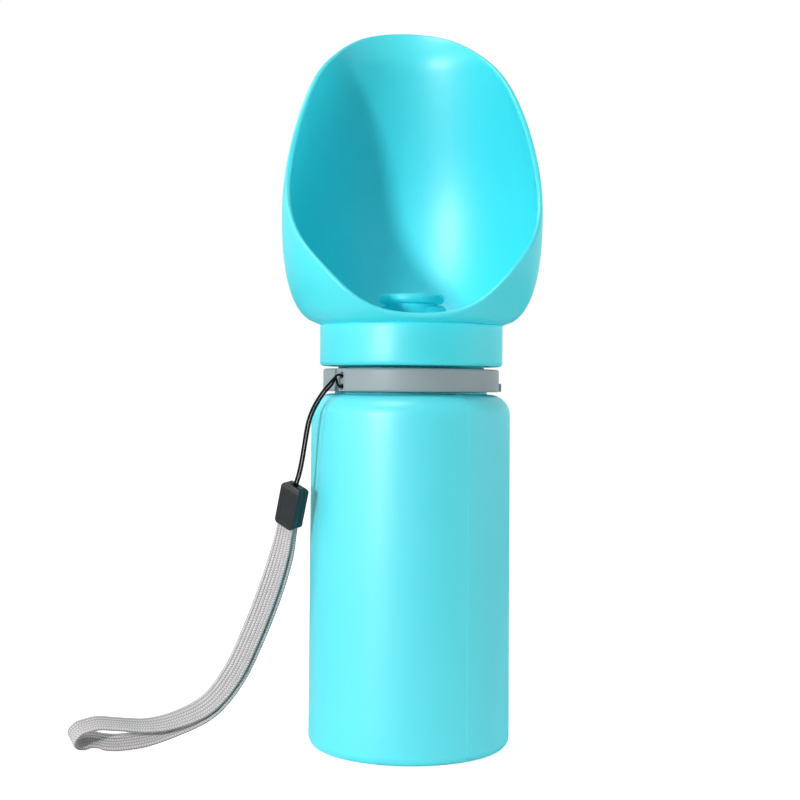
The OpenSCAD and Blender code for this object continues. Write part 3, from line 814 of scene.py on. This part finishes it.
class BOTTLE_OT_hard_pieces(bpy.types.Operator):
    """The hard pieces: ring, sleeve, cap, valve and seals"""
    bl_idname = "bottle.hard_pieces"
    bl_label = "Ring, cap, valve and seals"

    def execute(self, context):
        # Injection-moulded ABS: an even satin sheen over a fine grain
        aqua = moulded("Injection-moulded ABS, aqua", "#45E6F2", "#45E6F2", 0.42, 0.5, 0.05,
                       IOR=1.45)
        grey = moulded("Injection-moulded ABS, grey", sizes().ring, "#94A2A6", 0.46, 0.5, 0.08,
                       IOR=1.45)
        # Moulded silicone, as seals are made: soft white and matt
        seal = moulded("Moulded silicone, white seal", "#E4E8E8", "#E4E8E8", 0.5, 0.6, 0.05,
                       IOR=1.45)
        for node, body, slot, edge, angle, plastic in (
                ("lanyard_ring", "lanyard", "ring_plastic", 0.22, 35, grey),
                ("pull_valve", "valve", "valve_plastic", 0.2, 45, aqua)):
            piece = copy_of(node)
            soften(piece, edge, 3, 40)
            smooth(piece, angle)
            place(piece, node + "_moulded", body, [node], plastic)
        for node, material in (("neck_sleeve", aqua), ("screw_cap", aqua),
                               ("cap_gasket", seal), ("valve_o_ring", seal),
                               ("cord_knot", cord_finish())):
            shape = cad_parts[node]
            shape.data.materials.clear()
            shape.data.materials.append(material)
            for face in shape.data.polygons:
                face.material_index = 0
        return {"FINISHED"}


# ---------------------------------------------------------------- stage

class BOTTLE_OT_stage(bpy.types.Operator):
    """Pale floor, soft light, and the camera at the photograph's angle"""
    bl_idname = "bottle.stage"
    bl_label = "Stage"

    def execute(self, context):
        scene = context.scene
        scene.view_settings.view_transform = "Standard"
        self.camera(scene)
        self.lamps(scene)
        self.room(scene)
        self.floor(scene)
        return {"FINISHED"}

    def camera(self, scene):
        lens = bpy.data.cameras.new("Camera")
        lens.sensor_width = SENSOR
        lens.lens = SENSOR * FOCAL_PX / PICTURE_PX
        camera = bpy.data.objects.new("Camera", lens)
        scene.collection.objects.link(camera)
        scene.camera = camera
        turn = math.radians(CAMERA_AZIMUTH)
        camera.location = (CAMERA_DISTANCE * math.sin(turn) * MM,
                           -CAMERA_DISTANCE * math.cos(turn) * MM, CAMERA_Z * MM)
        camera.rotation_mode = "QUATERNION"
        camera.rotation_quaternion = (
            Quaternion(Z_AXIS, turn + math.radians(AIM_LEFT))
            @ Quaternion(X_AXIS, math.pi / 2 - math.radians(AIM_DOWN))
            @ Quaternion(Z_AXIS, math.radians(CAMERA_ROLL)))

    def lamps(self, scene):
        """Round soft lamps that face a point halfway up. Each row gives the name, power,
        diameter, azimuth and rise in degrees, distance, and whether it shows in reflections."""
        lights = scene.light_sizes
        middle = Vector((0, 0, 0.15))
        for name, power, size, azimuth, rise, far, mirrored in (
                ("High key", lights.key, 0.1, -48, 66, 0.9, True),
                ("Low key", lights.low_key, 0.1, -40, 8, 0.9, True),
                ("Left card", lights.left, 0.5, -75, 5, 0.6, True),
                ("Right card", lights.right, 0.5, 85, -6, 0.6, False)):
            lamp = bpy.data.lights.new(name, "AREA")
            lamp.shape, lamp.size, lamp.energy = "DISK", size, power
            holder = bpy.data.objects.new(name, lamp)
            scene.collection.objects.link(holder)
            a, e = math.radians(azimuth), math.radians(rise)
            back = Vector((math.sin(a) * math.cos(e), -math.cos(a) * math.cos(e), math.sin(e)))
            holder.location = middle + back * far
            holder.rotation_mode = "QUATERNION"
            holder.rotation_quaternion = back.to_track_quat("Z", "Y")
            holder.visible_glossy = mirrored

    def room(self, scene):
        """A pale room, darker on the side where the lens stands, that looks white to the lens,
        in reflections and through clear things."""
        lights = scene.light_sizes
        world = bpy.data.worlds.new("Pale room")
        scene.world = world
        world.use_nodes = True
        tree = world.node_tree
        white = (1, 1, 1, 1)
        way = add_node(tree, "ShaderNodeSeparateXYZ",
                       add_node(tree, "ShaderNodeTexCoord").outputs["Generated"])
        level = add_node(tree, "ShaderNodeMapRange", way.outputs[1], -0.2, 0.6, lights.front,
                         lights.fill)
        lit = add_node(tree, "ShaderNodeBackground", white, level)
        seen = add_node(tree, "ShaderNodeBackground", white, 1.0)
        ray = add_node(tree, "ShaderNodeLightPath").outputs
        straight = add_node(tree, MATH, ray["Is Camera Ray"], ray["Is Transmission Ray"],
                            operation="MAXIMUM")
        every = add_node(tree, MATH, straight, ray["Is Glossy Ray"], operation="MAXIMUM")
        mix = add_node(tree, "ShaderNodeMixShader", every, lit, seen)
        feed(tree, tree.nodes["World Output"].inputs[0], mix)

    def floor(self, scene):
        clear_selection()
        bpy.ops.mesh.primitive_plane_add(size=6, location=(0, 0, 0))
        ground = bpy.context.object
        ground.name = "floor"
        # White card: it shows white where nothing shades it, and keeps the soft shadow
        finish = Finish("White card floor", Roughness=0.9)
        where = finish.add("ShaderNodeTexCoord").outputs["Object"]
        far = finish.add("ShaderNodeVectorMath", where, operation="LENGTH").outputs["Value"]
        finish.set(Base_Color=finish.add("ShaderNodeMapRange", far, 0.12, 0.5, 0.92,
                                         scene.light_sizes.floor_far))
        glow = finish.add("ShaderNodeMapRange", far, 0.15, 0.45, scene.light_sizes.floor_glow,
                          1.0)
        lit = finish.add("ShaderNodeAddShader", finish.shader,
                         finish.add("ShaderNodeEmission", None, glow))
        ray = finish.add("ShaderNodeLightPath").outputs
        mix = finish.add("ShaderNodeMixShader", ray["Is Camera Ray"], finish.shader, lit)
        feed(finish.tree, finish.tree.nodes["Material Output"].inputs[0], mix)
        ground.data.materials.append(finish.material)


class BOTTLE_PT_panel(bpy.types.Panel):
    """Lists the pieces in the sidebar"""
    bl_label = "Dog travel water bottle"
    bl_idname = "BOTTLE_PT_panel"
    bl_space_type = "VIEW_3D"
    bl_region_type = "UI"
    bl_category = "Bottle"

    def draw(self, context):
        for operator in PIECES:
            self.layout.operator(operator.bl_idname)


PIECES = (BOTTLE_OT_stage, BOTTLE_OT_cord, BOTTLE_OT_strap, BOTTLE_OT_clip, BOTTLE_OT_body,
          BOTTLE_OT_scoop, BOTTLE_OT_hard_pieces)
GROUPS = (BottleSizes, StrapSizes, LightSizes)


def register():
    for group in (*GROUPS, *PIECES, BOTTLE_PT_panel):
        bpy.utils.register_class(group)
    bpy.types.Scene.bottle_sizes = bpy.props.PointerProperty(type=BottleSizes)
    bpy.types.Scene.strap_sizes = bpy.props.PointerProperty(type=StrapSizes)
    bpy.types.Scene.light_sizes = bpy.props.PointerProperty(type=LightSizes)


def unregister():
    del bpy.types.Scene.bottle_sizes
    del bpy.types.Scene.strap_sizes
    del bpy.types.Scene.light_sizes
    for group in reversed((*GROUPS, *PIECES, BOTTLE_PT_panel)):
        bpy.utils.unregister_class(group)


def main():
    register()
    for operator in PIECES:
        getattr(bpy.ops.bottle, operator.bl_idname.split(".")[1])()


if __name__ == "__main__":
    main()
